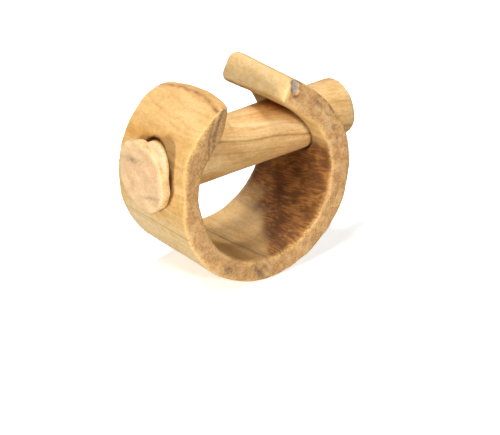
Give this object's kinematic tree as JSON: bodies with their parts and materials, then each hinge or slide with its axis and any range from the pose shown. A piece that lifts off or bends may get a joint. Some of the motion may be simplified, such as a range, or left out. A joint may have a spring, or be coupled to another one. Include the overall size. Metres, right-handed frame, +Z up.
{
  "type": "wooden ring and peg puzzle",
  "caption": "Hand-sized wooden take-apart puzzle: a thick C-shaped ring with a headed peg through a cross hole in both of its side walls.",
  "frame": {"origin": "on the surface the ring stands on, under the middle of the whole object's box", "axes": "+Z up, +Y along the ring's axis towards its back face, +X along the peg towards its plain tip"},
  "size_m": [0.0724, 0.0346, 0.0606],
  "materials": {
    "ring_wood": "satin, sanded bare wood",
    "peg_wood": "satin, sanded bare wood"
  },
  "bodies": {
    "ring": {"split_ring": "ring_wood"},
    "peg": {"headed_peg": "peg_wood"}
  },
  "joints": [
    {"name": "peg_slide", "type": "slide", "parent": "ring", "child": "peg", "axis": [-1, 0, 0], "range_m": [-0.0005, 0.066]}
  ]
}
